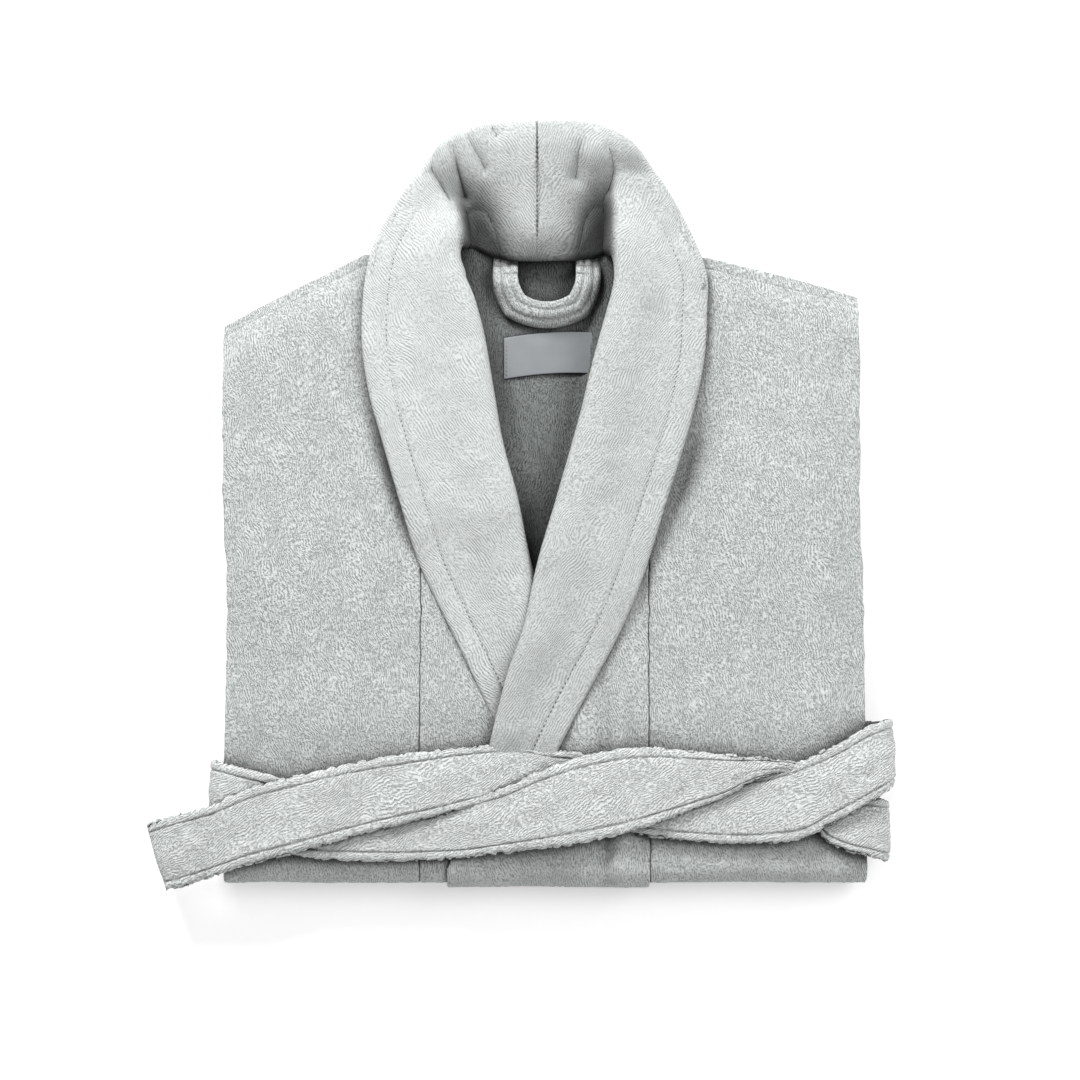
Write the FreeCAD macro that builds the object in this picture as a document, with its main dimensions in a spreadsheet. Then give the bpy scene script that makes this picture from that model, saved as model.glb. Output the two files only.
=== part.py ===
import FreeCAD, Part
import os
import Sketcher
from FreeCAD import Placement, Rotation, Vector

# A towelling bathrobe, folded into a flat pack and lying on its back face, with its belt
# wrapped once round the lower part. +Z is up, +Y runs from the bottom fold to the collar,
# and the origin is on the surface under the pack. Left and right are the wearer's.

# ---------------------------------------------------------------- driving dimensions, mm
SIZES = {
    # cloth and layers
    "cloth": 3.5,               # thickness of one layer of towelling
    "pitch": 3.9,               # one layer and the air above it
    "belt_room": 6.5,           # how far the lower part is lifted for the belt below it
    "sleeve_stack": 8.0,        # both layers of a flattened sleeve
    "stack_gap": 0.4,
    # outline of the pack
    "side_right": -250.0,
    "side_left": 262.0,
    "fold_bottom": -238.0,      # outermost point of the bottom fold
    "fold_top": 170.0,          # where the skirt turns back under the shoulders
    "hem_end": -40.0,
    "lift_start": -98.0,        # below this the underside is lifted
    "shoulder_tip_right": 205.0,
    "shoulder_tip_left": 225.0,
    "shoulder_mid_right_x": -205.0, "shoulder_mid_right_y": 232.0,
    "shoulder_mid_left_x": 216.0, "shoulder_mid_left_y": 243.0,
    "neck_x": 140.0,
    "neck_y": 262.0,
    # front bands
    "seam_right": -94.0,
    "seam_left": 89.0,
    "band_edge_left": -72.0,    # free edge of the left band, which is on top
    "band_edge_right": 75.0,    # free edge of the right band, under it
    "band_top": 29.0,
    "seam_lap": 6.0,
    # collar
    "under_collar_height": 3.5,
    "upper_collar_height": 8.0,
    "collar_split": 0.3,
    # sleeves and cuffs
    "sleeve_inner": 40.0,
    "sleeve_outer": 238.0,
    "sleeve_head": 200.0,
    "sleeve_end": -205.0,
    "sleeve_slit": 0.4,
    "cuff_depth": 80.0,
    "cuff_wall": 1.6,
    # pockets
    "pocket_inner": 105.0,
    "pocket_outer": 245.0,
    "pocket_low": -60.0,
    "pocket_high": 130.0,
    "pocket_corner": 14.0,
    # belt loops
    "loop_strip": 6.0,
    "loop_low": -186.0,
    "loop_high": -126.0,
    # hanger loop and neck label
    "eye_width": 48.0,
    "strap": 18.0,
    "strap_thick": 3.5,
    "hang_x": 8.0,
    "hang_axis_y": 258.0,
    "hang_drop": 26.0,          # from the axis to the bottom of the eye
    "hang_end": 14.0,
    "label_x": -27.0,
    "label_width": 77.0,
    "label_y": 170.0,
    "label_height": 34.0,
    "label_thick": 0.8,
    # belt
    "belt_width": 53.0,
    "belt_thick": 3.5,
    "belt_floor_gap": 0.3,
    "belt_air": 0.4,
    "belt_right_x": -254.5,     # inner faces of the side wraps
    "belt_left_x": 276.0,
    "tail_length": 61.0,
    "tail_droop": 12.0,         # degrees below level
    "tail_gap": 3.0,
}

# Outlines of the two collar halves, from the top of the centre-back seam round the outer
# edge, down the lapel and back up the roll line to the neck seam.
RIGHT_COLLAR = [
    (0, 373), (-35, 372), (-70, 362), (-110, 322), (-138, 268), (-142, 206), (-129, 134),
    (-110, 70), (-78, -16), (-38, -98), (-26, -71), (-13, -33), (-5, 12), (-15, 70),
    (-35, 161), (-51, 246), (-58, 275), (-27, 270), (0, 267)]
LEFT_COLLAR = [
    (0, 373), (30, 372), (62, 362), (91, 338), (122, 294), (138, 263), (136, 196),
    (128, 149), (105, 70), (74, -20), (35, -96), (19, -122), (-37, -124), (-24, -71),
    (-2, 10), (15, 70), (46, 186), (62, 271), (38, 270), (0, 267)]

# Corners of the belt's strands seen from above, each with the belt's own width.
STRAND_OVER = [(-249, -160), (-30, -129), (150, -136), (276, -104), (276, -160),
               (150, -190), (-30, -182), (-249, -216)]
STRAND_UNDER = [(-258, -138), (0, -160), (150, -134), (276, -150), (276, -206),
                (150, -188), (0, -214), (-258, -192)]
STRAND_BELOW = [(-258, -138), (279.5, -104), (279.5, -157), (-258, -192)]

doc = FreeCAD.newDocument("Bathrobe")
sheet = doc.addObject("Spreadsheet::Sheet", "Sizes")
for row, (alias, value) in enumerate(SIZES.items(), start=1):
    sheet.set(f"A{row}", alias)
    sheet.set(f"B{row}", str(value))
    sheet.setAlias(f"B{row}", alias)
doc.recompute()

parts = {}


def size(alias):
    """The value of one cell of the sheet."""
    return float(getattr(sheet, alias))


def bind(obj, **expressions):
    """Bind properties to the sheet; a name such as Base_x stands for Placement.Base.x."""
    for prop, text in expressions.items():
        path = ".Placement.Base." + prop[-1] if prop.startswith("Base_") else prop
        for alias in sorted(SIZES, key=len, reverse=True):
            text = text.replace(f"<{alias}>", f"Sizes.{alias}")
        obj.setExpression(path, text)
    return obj


def box(name, x0, x1, y0, y1, z0, z1):
    """A box whose six faces are expressions of the sheet."""
    obj = doc.addObject("Part::Box", name)
    return bind(obj, Base_x=x0, Base_y=y0, Base_z=z0,
                Length=f"({x1}) - ({x0})", Width=f"({y1}) - ({y0})", Height=f"({z1}) - ({z0})")


def half_ring(name, x0, x1, y_mid, z_mid, outer, thick, towards_plus_y):
    """Half of a tube along X: the turn of one cloth layer at a fold."""
    turn = Rotation(Vector(0, 1, 0), 90)
    if not towards_plus_y:
        turn = Rotation(Vector(1, 0, 0), 180) * turn
    halves = []
    for kind, radius in (("outer", outer), ("inner", f"({outer}) - {thick}")):
        tube = doc.addObject("Part::Cylinder", f"{name}_{kind}")
        tube.Angle = 180
        tube.Placement = Placement(Vector(), turn)
        bind(tube, Radius=radius, Height=f"({x1}) - ({x0})", Base_x=x0, Base_y=y_mid, Base_z=z_mid)
        halves.append(tube)
    ring = doc.addObject("Part::Cut", name)
    ring.Base, ring.Tool = halves
    return ring


def outline_pad(name, corners, height, z0):
    """A flat plate with a straight-sided outline, as a sketch and a pad."""
    body = doc.addObject("PartDesign::Body", name)
    sketch = body.newObject("Sketcher::SketchObject", f"{name}_outline")
    plane = [f for f in body.Origin.OriginFeatures if f.Role == "XY_Plane"][0]
    sketch.AttachmentSupport = [(plane, "")]
    sketch.MapMode = "FlatFace"
    points = [Vector(x, y, 0) for x, y in corners]
    for here, there in zip(points, points[1:] + points[:1]):
        sketch.addGeometry(Part.LineSegment(here, there), False)
    for line in range(len(points)):
        sketch.addConstraint(Sketcher.Constraint("Coincident", line, 2, (line + 1) % len(points), 1))
    pad = body.newObject("PartDesign::Pad", f"{name}_pad")
    pad.Profile = sketch
    bind(pad, Length=height)
    bind(body, Base_z=z0)
    body.Tip = pad
    return body


def fuse(label, shapes):
    """One sub-part made of several shapes."""
    obj = doc.addObject("Part::MultiFuse", label)
    obj.Shapes = shapes
    obj.Refine = True
    return keep(obj, label)


def cut(label, base, tool):
    """One sub-part made by cutting a tool out of a base."""
    obj = doc.addObject("Part::Cut", label)
    obj.Base, obj.Tool = base, tool
    return keep(obj, label)


def keep(obj, label):
    """Register a sub-part under the name of its file."""
    obj.Label = label
    parts[label] = obj
    return obj


# ------------------------------------------------------------------------ layer heights
# Layer 0 is the left band, layer 1 the front panels and the right band, layer 2 the back.
LEFT_BAND, FRONTS, BACK = 0, 1, 2
TOP_BASE = "(6 * <pitch> + <sleeve_stack> + <stack_gap>)"
FOLD_Z = f"(({TOP_BASE} + 2 * <pitch> + <cloth> + <belt_room>) / 2)"
FOLD_RADIUS = f"(({TOP_BASE} + 2 * <pitch> + <cloth> - <belt_room>) / 2)"
FOLD_Y = f"(<fold_bottom> + {FOLD_RADIUS})"
HEM_RADIUS = "((5 * <pitch> + <cloth>) / 2)"


def top_of_stack(layer):
    """Underside of a layer on the upper face of the pack."""
    return f"({TOP_BASE} + {2 - layer} * <pitch>)"


def folded_run(name, layer, x0, x1):
    """The hidden run of one cloth: bottom fold, underside, upper fold and hem."""
    low = f"({layer} * <pitch>)"
    lifted = f"({low} + <belt_room>)"
    hem = f"({5 - layer} * <pitch>)"
    wall = f"(<lift_start> + {layer} * <pitch>)"
    return [
        half_ring(f"{name}_bottom_fold", x0, x1, FOLD_Y, FOLD_Z,
                  f"{FOLD_RADIUS} - {layer} * <pitch>", "<cloth>", False),
        box(f"{name}_lifted", x0, x1, FOLD_Y, f"{wall} + <cloth>", lifted, f"{lifted} + <cloth>"),
        box(f"{name}_step", x0, x1, wall, f"{wall} + <cloth>", low, f"{lifted} + <cloth>"),
        box(f"{name}_skirt", x0, x1, wall, "<fold_top>", low, f"{low} + <cloth>"),
        half_ring(f"{name}_upper_fold", x0, x1, "<fold_top>", HEM_RADIUS,
                  f"{HEM_RADIUS} - {layer} * <pitch>", "<cloth>", True),
        box(f"{name}_hem", x0, x1, "<hem_end>", "<fold_top>", hem, f"{hem} + <cloth>"),
    ]


# ---------------------------------------------------------------------------- the panels
fold_y = size("fold_bottom") + (6 * size("pitch") + size("sleeve_stack") + size("stack_gap")
                                + 2 * size("pitch") + size("cloth") - size("belt_room")) / 2
right_shoulder = [(-size("neck_x"), size("neck_y")),
                  (size("shoulder_mid_right_x"), size("shoulder_mid_right_y")),
                  (size("side_right"), size("shoulder_tip_right"))]
left_shoulder = [(size("side_left"), size("shoulder_tip_left")),
                 (size("shoulder_mid_left_x"), size("shoulder_mid_left_y")),
                 (size("neck_x"), size("neck_y"))]


def make_back():
    """The back: neck to hem in one piece, inside all the folds."""
    corners = [(size("side_right"), fold_y), (size("side_left"), fold_y)]
    corners += left_shoulder + right_shoulder
    upper = outline_pad("back_upper", corners, "<cloth>", top_of_stack(BACK))
    fuse("back_panel", [upper] + folded_run("back", BACK, "<side_right>", "<side_left>"))


def make_front(side):
    """One front panel, from its side to the seam of the front band."""
    if side == "right":
        seam = size("seam_right")
        corners = [(size("side_right"), fold_y), (seam, fold_y), (seam, size("neck_y"))]
        corners += right_shoulder
        x0, x1 = "<side_right>", "<seam_right>"
    else:
        seam = size("seam_left")
        corners = [(seam, fold_y), (size("side_left"), fold_y)] + left_shoulder
        corners += [(seam, size("neck_y"))]
        x0, x1 = "<seam_left>", "<side_left>"
    name = f"{side}_front"
    upper = outline_pad(f"{name}_upper", corners, "<cloth>", top_of_stack(FRONTS))
    fuse(f"{name}_panel", [upper] + folded_run(name, FRONTS, x0, x1))


def make_band(side):
    """One front band, from the start of the lapel down to the hem."""
    if side == "right":
        layer, x0, x1 = FRONTS, "<seam_right>", "<band_edge_right>"
    else:
        layer, x0, x1 = LEFT_BAND, "<band_edge_left>", "<seam_left> + <seam_lap>"
    name = f"{side}_band"
    top = top_of_stack(layer)
    upper = box(f"{name}_upper", x0, x1, FOLD_Y, "<band_top>", top, f"{top} + <cloth>")
    fuse(f"{side}_front_band", [upper] + folded_run(name, layer, x0, x1))


make_back()
for side in ("right", "left"):
    make_front(side)
    make_band(side)


# ---------------------------------------------------------------------------- the collar
UNDER_COLLAR_Z = f"({top_of_stack(LEFT_BAND)} + <pitch>)"
UPPER_COLLAR_Z = f"({UNDER_COLLAR_Z} + <under_collar_height> + <stack_gap>)"


def make_collar(side, corners):
    """The under collar and, above it, the upper collar with its lapel."""
    away = -size("collar_split") if side == "right" else size("collar_split")
    corners = [(x + away, y) for x, y in corners]
    under = outline_pad(f"{side}_under", corners, "<under_collar_height>", UNDER_COLLAR_Z)
    upper = outline_pad(f"{side}_upper", corners, "<upper_collar_height>", UPPER_COLLAR_Z)
    keep(under, f"{side}_under_collar")
    keep(upper, f"{side}_upper_collar")


make_collar("right", RIGHT_COLLAR)
make_collar("left", LEFT_COLLAR)


# ---------------------------------------------------------------- sleeves, cuffs, pockets
def mirrored_span(side, inner, outer):
    """The X range of a piece that both sides have."""
    return (f"-<{outer}>", f"-<{inner}>") if side == "right" else (f"<{inner}>", f"<{outer}>")


SLEEVE_Z = "(6 * <pitch>)"
SLEEVE_MID = f"({SLEEVE_Z} + <sleeve_stack> / 2)"


def make_sleeve(side):
    """A flattened sleeve, open at its end, and the cuff turned back round it."""
    x0, x1 = mirrored_span(side, "sleeve_inner", "sleeve_outer")
    cuff_top = "(<sleeve_end> + <cuff_depth>)"
    slim = "(<cuff_wall> + <stack_gap>)"
    arm = box(f"{side}_arm", x0, x1, cuff_top, "<sleeve_head>",
              SLEEVE_Z, f"{SLEEVE_Z} + <sleeve_stack>")
    wrist = box(f"{side}_wrist", f"{x0} + {slim}", f"{x1} - {slim}", "<sleeve_end>", cuff_top,
                f"{SLEEVE_Z} + {slim}", f"{SLEEVE_Z} + <sleeve_stack> - {slim}")
    whole = doc.addObject("Part::MultiFuse", f"{side}_sleeve_whole")
    whole.Shapes = [arm, wrist]
    slit = box(f"{side}_slit", f"{x0} + <cloth>", f"{x1} - <cloth>", "<sleeve_end> - 1",
               "<sleeve_head> - <cloth>", f"{SLEEVE_MID} - <sleeve_slit> / 2",
               f"{SLEEVE_MID} + <sleeve_slit> / 2")
    cut(f"{side}_sleeve", whole, slit)

    shell = box(f"{side}_cuff_shell", x0, x1, "<sleeve_end>", f"{cuff_top} - <stack_gap>",
                SLEEVE_Z, f"{SLEEVE_Z} + <sleeve_stack>")
    room = box(f"{side}_cuff_room", f"{x0} + <cuff_wall>", f"{x1} - <cuff_wall>",
               "<sleeve_end> - 1", f"{cuff_top} + 1", f"{SLEEVE_Z} + <cuff_wall>",
               f"{SLEEVE_Z} + <sleeve_stack> - <cuff_wall>")
    cut(f"{side}_cuff", shell, room)


def make_pocket(side):
    """A patch pocket on the outside of the skirt, which faces down in the pack."""
    x0, x1 = mirrored_span(side, "pocket_inner", "pocket_outer")
    patch = box(f"{side}_patch", x0, x1, "<pocket_low>", "<pocket_high>", "0", "<pitch>")
    doc.recompute()
    rounded = doc.addObject("Part::Fillet", f"{side}_pocket")
    rounded.Base = patch
    upright = [number for number, edge in enumerate(patch.Shape.Edges, start=1)
               if abs(edge.Vertexes[0].Z - edge.Vertexes[-1].Z) > 1]
    radius = size("pocket_corner")
    rounded.Edges = [(number, radius, radius) for number in upright]
    keep(rounded, f"{side}_pocket")


def make_belt_loop(side):
    """A narrow strip standing at the side seam, where the belt crosses it."""
    x0, x1 = (("<side_right> + 1", "<side_right> + 1 + <loop_strip>") if side == "right"
              else ("<side_left> - 1 - <loop_strip>", "<side_left> - 1"))
    strip = box(f"{side}_loop_strip", x0, x1, "<loop_low>", "<loop_high>",
                SLEEVE_Z, f"{SLEEVE_Z} + <sleeve_stack>")
    keep(strip, f"{side}_belt_loop")


for side in ("right", "left"):
    make_sleeve(side)
    make_pocket(side)
    make_belt_loop(side)


# ----------------------------------------------------------- hanger loop and neck label
INSIDE_Z = f"({TOP_BASE} + <cloth>)"       # upper face of the back, seen in the neck
LOOP_Z = f"({INSIDE_Z} + <stack_gap>)"


def make_hanger_loop():
    """A strap in a U, hinged at its sewn ends, with an eye for a hook."""
    eye = "(<eye_width> / 2)"
    reach = f"({eye} + <strap>)"
    turn_y = f"(<hang_axis_y> - <hang_drop> + {eye})"
    solids = []
    for kind, half in (("outside", reach), ("inside", eye)):
        legs = box(f"loop_{kind}_legs", f"<hang_x> - {half}", f"<hang_x> + {half}",
                   turn_y, "<hang_axis_y>", LOOP_Z, f"{LOOP_Z} + <strap_thick>")
        bend = doc.addObject("Part::Cylinder", f"loop_{kind}_bend")
        bend.Angle = 180
        bend.Placement = Placement(Vector(), Rotation(Vector(0, 0, 1), 180))
        bind(bend, Radius=half, Height="<strap_thick>", Base_x="<hang_x>",
             Base_y=turn_y, Base_z=LOOP_Z)
        whole = doc.addObject("Part::MultiFuse", f"loop_{kind}")
        whole.Shapes = [legs, bend]
        solids.append(whole)
    cut("hanger_loop", *solids)

    ends = []
    for name, x0, x1 in (("right", f"<hang_x> - {reach}", f"<hang_x> - {eye}"),
                         ("left", f"<hang_x> + {eye}", f"<hang_x> + {reach}")):
        ends.append(box(f"loop_end_{name}", x0, x1, "<hang_axis_y> + <strap_thick>",
                        "<hang_axis_y> + <strap_thick> + <hang_end>",
                        LOOP_Z, f"{LOOP_Z} + <strap_thick>"))
    pair = doc.addObject("Part::Compound", "hanger_loop_ends")
    pair.Links = ends
    keep(pair, "hanger_loop_ends")


def make_label():
    """A blank woven label sewn inside the back of the neck."""
    keep(box("neck_label", "<label_x>", "<label_x> + <label_width>", "<label_y>",
             "<label_y> + <label_height>", INSIDE_Z, f"{INSIDE_Z} + <label_thick>"),
         "neck_label")


make_hanger_loop()
make_label()


# ------------------------------------------------------------------------------ the belt
BELT_LOW_Z = f"({top_of_stack(LEFT_BAND)} + <cloth> + <belt_air>)"
BELT_HIGH_Z = f"({BELT_LOW_Z} + <belt_thick> + 5 * <belt_air>)"
BELT_TOP_Z = f"({BELT_HIGH_Z} + <belt_thick>)"


def make_belt():
    """One strap: over the front, round the left side, under the pack and over again."""
    over = outline_pad("belt_over", STRAND_OVER, "<belt_thick>", BELT_HIGH_Z)
    under = outline_pad("belt_under", STRAND_UNDER, "<belt_thick>", BELT_LOW_Z)
    below = outline_pad("belt_below", STRAND_BELOW, "<belt_thick>", "<belt_floor_gap>")
    x_right = ("<belt_right_x> - <belt_thick>", "<belt_right_x>")
    x_left = ("<belt_left_x>", "<belt_left_x> + <belt_thick>")
    right_top = f"{BELT_LOW_Z} + <belt_thick>"
    walls = [
        box("belt_right_wall", *x_right, "-192", "-138", "<belt_floor_gap>", right_top),
        box("belt_left_wall", *x_left, "-157.5", "-104", "<belt_floor_gap>", BELT_TOP_Z),
        box("belt_tuck_wall", *x_left, "-206", "-162", "20", right_top),
    ]
    fuse("belt", [over, under, below] + walls)


def make_belt_tail():
    """The free end of the belt, hanging over the right side of the pack."""
    tail = doc.addObject("Part::Box", "belt_tail")
    droop = size("tail_droop")
    tail.Placement = Placement(Vector(), Rotation(Vector(0, 1, 0), 180 - droop))
    bind(tail, Length="<tail_length>", Width="<belt_width>", Height="<belt_thick>",
         Base_x="-249 - <tail_gap>", Base_y="-214.5",
         Base_z=f"{BELT_TOP_Z}")
    keep(tail, "belt_tail")


make_belt()
make_belt_tail()

# --------------------------------------------------------------------- check and export
doc.recompute()
for obj in doc.Objects:
    if "Invalid" in obj.State or "Error" in obj.State:
        raise RuntimeError(f"{obj.Name} failed: {obj.State}")
for label, obj in parts.items():
    if obj.Shape.isNull() or not obj.Shape.isValid() or not obj.Shape.Solids:
        raise RuntimeError(f"{label} has no valid solid")

os.makedirs("parts", exist_ok=True)
for label, obj in parts.items():
    obj.Shape.exportStep(f"parts/{label}.step")
    bounds = obj.Shape.BoundBox
    print(f"{label:22s} solids {len(obj.Shape.Solids)}  volume {obj.Shape.Volume / 1000:8.1f} cm3"
          f"  x {bounds.XMin:7.1f} {bounds.XMax:7.1f}  y {bounds.YMin:7.1f} {bounds.YMax:7.1f}"
          f"  z {bounds.ZMin:6.1f} {bounds.ZMax:6.1f}")
print(len(parts), "sub-parts")
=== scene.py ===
import math

import bpy
import numpy as np
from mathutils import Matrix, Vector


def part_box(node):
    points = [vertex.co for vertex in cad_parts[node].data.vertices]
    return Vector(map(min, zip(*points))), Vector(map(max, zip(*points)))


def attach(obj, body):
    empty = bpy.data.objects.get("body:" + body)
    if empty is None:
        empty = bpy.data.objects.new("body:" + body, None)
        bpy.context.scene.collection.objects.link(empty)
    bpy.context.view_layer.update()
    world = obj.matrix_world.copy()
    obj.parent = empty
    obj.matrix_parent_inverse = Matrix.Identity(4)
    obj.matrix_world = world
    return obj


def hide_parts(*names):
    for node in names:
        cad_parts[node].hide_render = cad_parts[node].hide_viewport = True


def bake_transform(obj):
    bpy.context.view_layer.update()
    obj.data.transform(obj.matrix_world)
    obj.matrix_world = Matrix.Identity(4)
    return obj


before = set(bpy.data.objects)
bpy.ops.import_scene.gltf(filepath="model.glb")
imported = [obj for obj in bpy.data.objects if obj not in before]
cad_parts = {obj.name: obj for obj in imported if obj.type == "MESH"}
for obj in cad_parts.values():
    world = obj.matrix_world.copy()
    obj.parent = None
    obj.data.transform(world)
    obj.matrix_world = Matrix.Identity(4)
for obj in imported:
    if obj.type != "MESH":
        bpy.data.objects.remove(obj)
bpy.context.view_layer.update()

# A folded towelling bathrobe. Shapes below are worked out in millimetres in the frame's own
# axes: +Y towards the collar, +Z up. Left and right are the wearer's.
MM = 0.001


def corners(node):
    """Lowest and highest corner of a node, in millimetres."""
    low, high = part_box(node)
    return np.array(low) / MM, np.array(high) / MM


# --------------------------------------------------------------- sizes taken from the frame
band_low, band_high = corners("left_front_band")
front_low, front_high = corners("left_front_panel")
right_low, right_high = corners("right_front_panel")
back_low, back_high = corners("back_panel")
CLOTH = 3.5                                     # one layer, as the panels are made
PITCH = band_high[2] - front_high[2]            # one layer and the air above it
SIDE_RIGHT, SIDE_LEFT = right_low[0], front_high[0]
SEAM_RIGHT, SEAM_LEFT = right_high[0], front_low[0]
BELT_ROOM = 6.5                                 # rise of the underside where the belt passes
FOLD_RADIUS = (front_high[2] - (PITCH + BELT_ROOM)) / 2 + PITCH
FOLD_Z = band_high[2] - FOLD_RADIUS             # centre of the bottom fold
FOLD_Y = band_low[1] + FOLD_RADIUS
UPPER_FOLD_Y = 170.0                            # where the skirt turns back inside the pack
HEM_Y = -40.0
LIFT_Y = -88.0                                  # where the underside rises for the belt
LEFT_BAND, FRONTS, BACK = 0, 1, 2               # layers, outermost first
LAST_LAYER = 5                                  # number of the outermost cloth's hem layer
BAND_TOP = 38.0                                 # upper ends of the bands, at their seams
LEFT_BAND_EDGE, RIGHT_BAND_EDGE = -72, 75       # free edges of the bands
BACK_TOP, FRONT_TOP = 245, 230                  # mean Y of the upper edges
FINE = 2.3                                      # grid step of the large cloths
COARSE = 5.0                                    # grid step of the hidden parts
LATTICE = 256                                   # size of the noise table


# ------------------------------------------------------------------------ shape functions
def noise(x, y, cell, seed):
    """Smooth value noise from -1 to 1 over a lattice of the given cell."""
    table = np.random.RandomState(seed).uniform(-1, 1, (LATTICE, LATTICE))
    gx, gy = x / cell + 1000, y / cell + 1000
    ix, iy = np.floor(gx).astype(int), np.floor(gy).astype(int)
    fx, fy = gx - ix, gy - iy
    fx, fy = fx * fx * (3 - 2 * fx), fy * fy * (3 - 2 * fy)
    jx, jy = (ix + 1) % LATTICE, (iy + 1) % LATTICE
    ix, iy = ix % LATTICE, iy % LATTICE
    low = table[ix, iy] * (1 - fx) + table[jx, iy] * fx
    high = table[ix, jy] * (1 - fx) + table[jx, jy] * fx
    return low * (1 - fy) + high * fy


def step(value, start, end):
    """Smooth change from 0 at start to 1 at end."""
    part = np.clip((value - start) / (end - start), 0, 1)
    return part * part * (3 - 2 * part)


def spaced(length, pitch, rim):
    """Distances along one side of a cloth, closer together at its two rounded rims."""
    edge = rim * np.array([0, 0.05, 0.2, 0.48, 1.0])
    inner = np.linspace(rim, length - rim, max(3, int((length - 2 * rim) / pitch) + 1))
    return np.concatenate([edge[:-1], inner, length - edge[:-1][::-1]])


def rounded(distance, rim):
    """Share of the full thickness at a distance from a rounded rim."""
    near = np.clip(distance / rim, 0, 1)
    return np.sqrt(1 - (1 - near) ** 2)


def line_dent(x, y, start, end, width, depth):
    """A crease that deepens from start to end."""
    ax, ay = start
    dx, dy = end[0] - ax, end[1] - ay
    along = np.clip(((x - ax) * dx + (y - ay) * dy) / (dx * dx + dy * dy), 0, 1)
    gap = np.hypot(x - ax - along * dx, y - ay - along * dy)
    return -depth * step(along, -0.25, 0.6) * np.exp(-(gap / width) ** 2)


def trough(x, y, place, angle, reach, width, depth):
    """A long soft hollow at a place, turned by an angle in degrees."""
    a = math.radians(angle)
    along = (x - place[0]) * math.cos(a) + (y - place[1]) * math.sin(a)
    aside = (y - place[1]) * math.cos(a) - (x - place[0]) * math.sin(a)
    return -depth * np.exp(-(along / reach) ** 2 - (aside / width) ** 2)


# ------------------------------------------------------------------------- mesh functions
def shell_arrays(mid, half, pile=0.0, seed=1):
    """Vertices and faces of a closed cloth round a middle surface; half is 0 at its rim."""
    rows, cols = half.shape
    across = np.gradient(mid, axis=0)
    along = np.gradient(mid, axis=1)
    normal = np.cross(across, along)
    normal /= np.linalg.norm(normal, axis=2, keepdims=True) + 1e-9
    rng = np.random.RandomState(seed)
    full = half / max(half.max(), 1e-6)
    up = half + pile * rng.normal(0, 1, half.shape) * full
    down = half + pile * rng.normal(0, 1, half.shape) * full
    top = mid + normal * up[..., None]
    bottom = mid - normal * down[..., None]
    index = np.arange(rows * cols).reshape(rows, cols)
    under = index + rows * cols
    under[0], under[-1] = index[0], index[-1]
    under[:, 0], under[:, -1] = index[:, 0], index[:, -1]

    def quads(ids):
        ring = [ids[:-1, :-1], ids[1:, :-1], ids[1:, 1:], ids[:-1, 1:]]
        return np.stack(ring, -1).reshape(-1, 4)

    faces = np.vstack([quads(index), quads(under)[:, ::-1]])
    verts = np.vstack([top.reshape(-1, 3), bottom.reshape(-1, 3)])
    used = np.unique(faces)
    renumber = np.zeros(len(verts), int)
    renumber[used] = np.arange(len(used))
    return verts[used], renumber[faces]


def tube_arrays(path, radius, sides=6):
    """A thin closed tube along a path, such as one stitch."""
    path = np.array(path, float)
    heading = np.gradient(path, axis=0)
    heading /= np.linalg.norm(heading, axis=1, keepdims=True) + 1e-9
    side = np.cross(heading, [0.05, 0.03, 1.0])
    side /= np.linalg.norm(side, axis=1, keepdims=True)
    other = np.cross(heading, side)
    turn = np.linspace(0, 2 * math.pi, sides, endpoint=False)
    taper = np.ones(len(path))
    taper[0] = taper[-1] = 0.35
    rings = [path[i] + radius * taper[i] * (np.cos(a) * side[i] + np.sin(a) * other[i])
             for i in range(len(path)) for a in turn]
    faces = []
    for i in range(len(path) - 1):
        for k in range(sides):
            m = (k + 1) % sides
            faces.append([i * sides + k, i * sides + m, (i + 1) * sides + m, (i + 1) * sides + k])
    last = (len(path) - 1) * sides
    faces.append(list(range(sides))[::-1])
    faces.append(list(range(last, last + sides)))
    return np.array(rings), faces


def make_piece(name, shells, material):
    """One mesh object from one or more closed shells."""
    verts, faces, offset = [], [], 0
    for points, quads in shells:
        verts.append(points)
        faces += [[int(v) + offset for v in face] for face in quads]
        offset += len(points)
    mesh = bpy.data.meshes.new(name)
    mesh.from_pydata((np.vstack(verts) * MM).tolist(), [], faces)
    mesh.polygons.foreach_set("use_smooth", [True] * len(faces))
    mesh.materials.append(material)
    mesh.update()
    obj = bpy.data.objects.new(name, mesh)
    bpy.context.scene.collection.objects.link(obj)
    return obj


def paint_shade_by(obj, amount):
    """Paint shade into the cloth's colour: how much darker it is made at each point, from a
    function of x and y.
    """
    points = np.array([vertex.co for vertex in obj.data.vertices]) / MM
    values = np.clip(amount(points[:, 0], points[:, 1]), 0, 0.9)
    layer = obj.data.attributes.new("painted_shade", "FLOAT", "POINT")
    layer.data.foreach_set("value", values.astype(np.float32))


def register(obj, body, slot, *nodes):
    """Give a piece its body and hide the nodes it stands for; the slot is not used."""
    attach(obj, body)
    if nodes:
        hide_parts(*nodes)


# ------------------------------------------------------------------------------ materials
def new_material(name, roughness, specular, sheen):
    """A material and its shader, with the constant values set."""
    mat = bpy.data.materials.new(name)
    mat.use_nodes = True
    shader = mat.node_tree.nodes["Principled BSDF"]
    shader.inputs["Roughness"].default_value = roughness
    shader.inputs["Specular IOR Level"].default_value = specular
    shader.inputs["Sheen Weight"].default_value = sheen
    return mat, shader


def add_node(mat, kind, values=None):
    """Add a shader node and set its inputs, given by name or number."""
    node = mat.node_tree.nodes.new("ShaderNode" + kind)
    for socket, value in (values or {}).items():
        node.inputs[socket].default_value = value
    return node


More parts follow.
